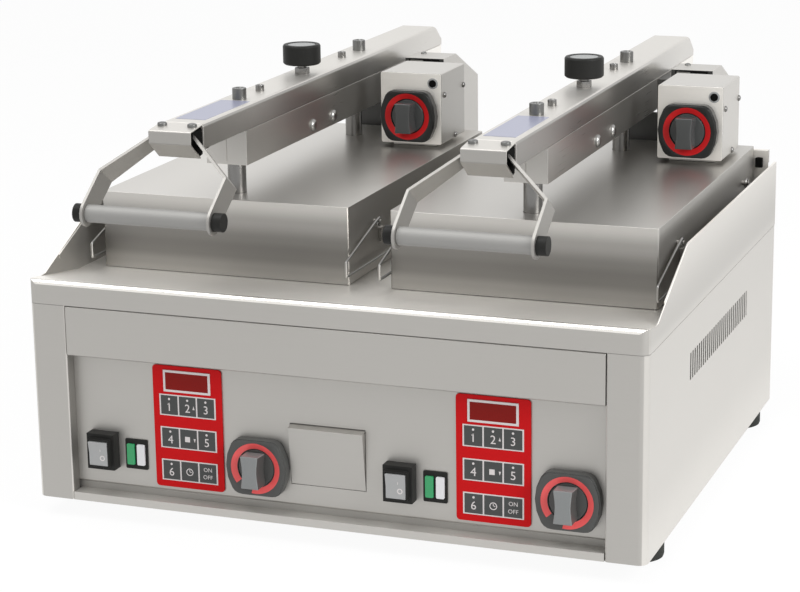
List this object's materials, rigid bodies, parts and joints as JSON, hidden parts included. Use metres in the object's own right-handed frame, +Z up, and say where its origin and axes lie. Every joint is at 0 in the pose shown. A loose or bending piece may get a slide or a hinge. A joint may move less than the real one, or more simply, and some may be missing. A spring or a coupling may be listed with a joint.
{
  "type": "countertop contact grill",
  "caption": "Countertop contact grill with two hinged lids on lifting beams, steel body with side louvres, keypads, dials, rocker switches and a drip drawer",
  "frame": {"origin": "middle of the outline, at the floor under the feet", "axes": "+Z up, the front towards -Y, +X to the right seen from the front"},
  "size_m": [0.7, 0.8616, 0.4826],
  "materials": {
    "brushed_steel": "brushed",
    "dark_steel": "machined",
    "polished_steel": "polished",
    "cast_iron": "seasoned",
    "black_plastic": "satin",
    "black_rubber": "matte",
    "grey_plastic": "satin",
    "red_film": "semi-gloss"
  },
  "bodies": {
    "body": {"base_pan": "brushed_steel", "left_side_panel": "brushed_steel", "right_side_panel": "brushed_steel", "rear_panel": "brushed_steel", "header_panel": "brushed_steel", "control_panel": "brushed_steel", "worktop": "brushed_steel", "cable_gland": "black_plastic", "foot_front_left": "black_rubber", "foot_front_right": "black_rubber", "foot_rear_left": "black_rubber", "foot_rear_right": "black_rubber", "left_switch_housing": "black_plastic", "left_indicator": "black_plastic", "left_keypad": "red_film", "left_dial_bezel": "black_plastic", "left_griddle": "cast_iron", "left_hinge_tower": "brushed_steel", "right_switch_housing": "black_plastic", "right_indicator": "black_plastic", "right_keypad": "red_film", "right_dial_bezel": "black_plastic", "right_griddle": "cast_iron", "right_hinge_tower": "brushed_steel"},
    "drawer": {"drip_drawer": "brushed_steel"},
    "left_lid": {"left_upper_plate": "cast_iron", "left_hood": "brushed_steel", "left_lift_frame": "dark_steel", "left_channel": "brushed_steel", "left_beam": "brushed_steel", "left_beam_cap": "brushed_steel", "left_handle_yoke": "brushed_steel", "left_handle_grip": "polished_steel", "left_grip_bolt": "black_plastic", "left_control_box": "brushed_steel", "left_box_bezel": "black_plastic", "left_bail_outer": "polished_steel", "left_bail_inner": "polished_steel"},
    "left_lock_knob": {"left_thumb_screw": "black_plastic"},
    "left_lid_dial": {"left_box_knob": "grey_plastic"},
    "left_front_dial": {"left_dial_knob": "grey_plastic"},
    "left_switch_rocker": {"left_rocker": "grey_plastic"},
    "right_lid": {"right_upper_plate": "cast_iron", "right_hood": "brushed_steel", "right_lift_frame": "dark_steel", "right_channel": "brushed_steel", "right_beam": "brushed_steel", "right_beam_cap": "brushed_steel", "right_handle_yoke": "brushed_steel", "right_handle_grip": "polished_steel", "right_grip_bolt": "black_plastic", "right_control_box": "brushed_steel", "right_box_bezel": "black_plastic", "right_bail_outer": "polished_steel", "right_bail_inner": "polished_steel"},
    "right_lock_knob": {"right_thumb_screw": "black_plastic"},
    "right_lid_dial": {"right_box_knob": "grey_plastic"},
    "right_front_dial": {"right_dial_knob": "grey_plastic"},
    "right_switch_rocker": {"right_rocker": "grey_plastic"}
  },
  "joints": [
    {"name": "drawer_slide", "type": "slide", "parent": "body", "child": "drawer", "axis": [0, -1, 0], "range_m": [0, 0.33]},
    {"name": "left_lid_hinge", "type": "hinge", "parent": "body", "child": "left_lid", "pos_m": [-0.1744, 0.32995, 0.3993], "axis": [-1, 0, 0], "range_deg": [0, 60]},
    {"name": "left_lock_knob_turn", "type": "hinge", "parent": "left_lid", "child": "left_lock_knob", "pos_m": [-0.1744, 0.00175, 0.4588], "axis": [0, 0, 1], "range_deg": [0, 360]},
    {"name": "left_lid_dial_turn", "type": "hinge", "parent": "left_lid", "child": "left_lid_dial", "pos_m": [-0.0756, 0.10525, 0.3838], "axis": [0, 1, 0], "range_deg": [0, 270]},
    {"name": "left_front_dial_turn", "type": "hinge", "parent": "body", "child": "left_front_dial", "pos_m": [-0.0845, -0.35505, 0.0801], "axis": [0, 1, 0], "range_deg": [0, 270]},
    {"name": "left_rocker_tip", "type": "hinge", "parent": "body", "child": "left_switch_rocker", "pos_m": [-0.2705, -0.36905, 0.0803], "axis": [-1, 0, 0], "range_deg": [0, 10]},
    {"name": "right_lid_hinge", "type": "hinge", "parent": "body", "child": "right_lid", "pos_m": [0.1744, 0.32995, 0.3993], "axis": [-1, 0, 0], "range_deg": [0, 60]},
    {"name": "right_lock_knob_turn", "type": "hinge", "parent": "right_lid", "child": "right_lock_knob", "pos_m": [0.1744, 0.00175, 0.4588], "axis": [0, 0, 1], "range_deg": [0, 360]},
    {"name": "right_lid_dial_turn", "type": "hinge", "parent": "right_lid", "child": "right_lid_dial", "pos_m": [0.2732, 0.10525, 0.3838], "axis": [0, 1, 0], "range_deg": [0, 270]},
    {"name": "right_front_dial_turn", "type": "hinge", "parent": "body", "child": "right_front_dial", "pos_m": [0.2653, -0.35505, 0.0801], "axis": [0, 1, 0], "range_deg": [0, 270]},
    {"name": "right_rocker_tip", "type": "hinge", "parent": "body", "child": "right_switch_rocker", "pos_m": [0.0793, -0.36905, 0.0803], "axis": [-1, 0, 0], "range_deg": [0, 10]}
  ]
}
